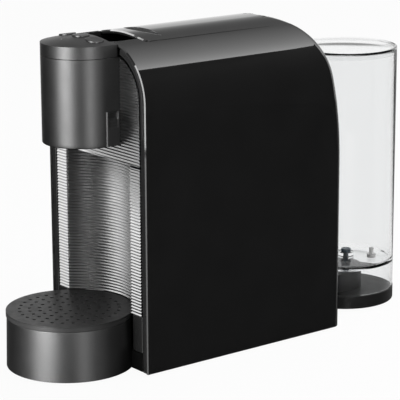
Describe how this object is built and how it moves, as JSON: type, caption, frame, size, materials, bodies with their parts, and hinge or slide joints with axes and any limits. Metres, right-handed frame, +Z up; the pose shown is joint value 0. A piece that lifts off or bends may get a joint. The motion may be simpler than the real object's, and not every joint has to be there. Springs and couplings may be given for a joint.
{
  "type": "capsule coffee machine",
  "caption": "Countertop capsule coffee machine with a top lever, round drip tray, capsule drawer and a clear rear water tank.",
  "frame": {"origin": "on the table under the middle of the machine's overall box", "axes": "+Z up, -Y towards the spout and drip tray, +Y towards the water tank, +X to the right seen from the front"},
  "size_m": [0.136, 0.399, 0.2712],
  "materials": {
    "gloss_black": "gloss black",
    "satin_anthracite": "satin metallic anthracite",
    "ribbed_silver": "satin silver grey",
    "black_plastic": "fine matt black",
    "dark_grille": "fine matt dark grey",
    "clear_plastic": "clear moulded plastic",
    "bin_plastic": "moulded black",
    "rubber_black": "matt",
    "steel": "brushed",
    "cast_aluminium": "cast",
    "white_plastic": "natural white",
    "seal_silicone": "silicone",
    "board_green": "lacquered board",
    "valve_blue": "moulded dark blue"
  },
  "bodies": {
    "machine": {"base_pan": "black_plastic", "rubber_feet": "rubber_black", "plinth": "gloss_black", "casing": "gloss_black", "front_bezel_left": "gloss_black", "front_bezel_right": "gloss_black", "upper_panel": "ribbed_silver", "finger_recess": "black_plastic", "head_shell": "satin_anthracite", "head_insert_left": "dark_grille", "head_insert_right": "dark_grille", "control_cap": "satin_anthracite", "status_lights": "white_plastic", "button_board": "board_green", "spout_nozzle": "black_plastic", "coffee_duct": "black_plastic", "frame_plate_left": "steel", "frame_plate_right": "steel", "frame_screws": "steel", "hinge_pin": "steel", "injector_block": "bin_plastic", "injector_seal": "seal_silicone", "brew_pipe": "steel", "heater_block": "cast_aluminium", "capsule_chute": "bin_plastic", "pump": "steel", "pump_mounts": "rubber_black", "pump_bracket": "bin_plastic", "pressure_hose": "seal_silicone", "suction_hose": "seal_silicone", "flow_meter": "white_plastic", "inlet_pipe": "white_plastic", "control_board": "board_green", "cord_gland": "rubber_black", "tank_base": "black_plastic", "tank_pedestal": "black_plastic", "valve_seal": "seal_silicone"},
    "lever": {"lever": "gloss_black", "lever_yoke": "steel", "crank_rod": "steel"},
    "carriage": {"capsule_carriage": "bin_plastic", "carriage_rods": "steel"},
    "short_button": {"short_cup_button": "satin_anthracite"},
    "power_button": {"power_button": "satin_anthracite"},
    "long_button": {"long_cup_button": "satin_anthracite"},
    "drip_tray": {"drip_tray": "satin_anthracite"},
    "cup_plate": {"cup_plate": "dark_grille"},
    "drawer": {"drawer_front": "ribbed_silver", "capsule_bin": "bin_plastic"},
    "water_tank": {"water_tank": "clear_plastic"},
    "tank_lid": {"tank_lid": "clear_plastic"},
    "valve": {"valve_poppet": "valve_blue"},
    "float": {"tank_float": "white_plastic"}
  },
  "joints": [
    {"name": "lever_hinge", "type": "hinge", "parent": "machine", "child": "lever", "pos_m": [0, 0.0516, 0.258], "axis": [-1, 0, 0], "range_deg": [0, 70]},
    {"name": "carriage_slide", "type": "slide", "parent": "machine", "child": "carriage", "axis": [0, -1, 0], "range_m": [0, 0.0285]},
    {"name": "short_button_press", "type": "slide", "parent": "machine", "child": "short_button", "axis": [0, 0, -1], "range_m": [0, 0.0012], "stiffness_N_per_m": 600, "springref_m": -0.001},
    {"name": "power_button_press", "type": "slide", "parent": "machine", "child": "power_button", "axis": [0, 0, -1], "range_m": [0, 0.0012], "stiffness_N_per_m": 600, "springref_m": -0.001},
    {"name": "long_button_press", "type": "slide", "parent": "machine", "child": "long_button", "axis": [0, 0, -1], "range_m": [0, 0.0012], "stiffness_N_per_m": 600, "springref_m": -0.001},
    {"name": "tray_slide", "type": "slide", "parent": "machine", "child": "drip_tray", "axis": [0, -1, 0], "range_m": [0, 0.11]},
    {"name": "plate_lift", "type": "slide", "parent": "drip_tray", "child": "cup_plate", "axis": [0, 0, 1], "range_m": [0, 0.06]},
    {"name": "drawer_slide", "type": "slide", "parent": "machine", "child": "drawer", "axis": [0, -1, 0], "range_m": [0, 0.11]},
    {"name": "tank_lift", "type": "slide", "parent": "machine", "child": "water_tank", "axis": [0, 0, 1], "range_m": [0, 0.06]},
    {"name": "lid_lift", "type": "slide", "parent": "water_tank", "child": "tank_lid", "axis": [0, 0, 1], "range_m": [0, 0.03]},
    {"name": "valve_push", "type": "slide", "parent": "water_tank", "child": "valve", "axis": [0, 0, 1], "range_m": [0, 0.002], "stiffness_N_per_m": 150, "springref_m": -0.001},
    {"name": "float_rise", "type": "slide", "parent": "water_tank", "child": "float", "axis": [0, 0, 1], "range_m": [0, 0.012]}
  ],
  "couplings": [
    {"joint": "carriage_slide", "follows": "lever_hinge", "m_per_rad": 0.023}
  ]
}
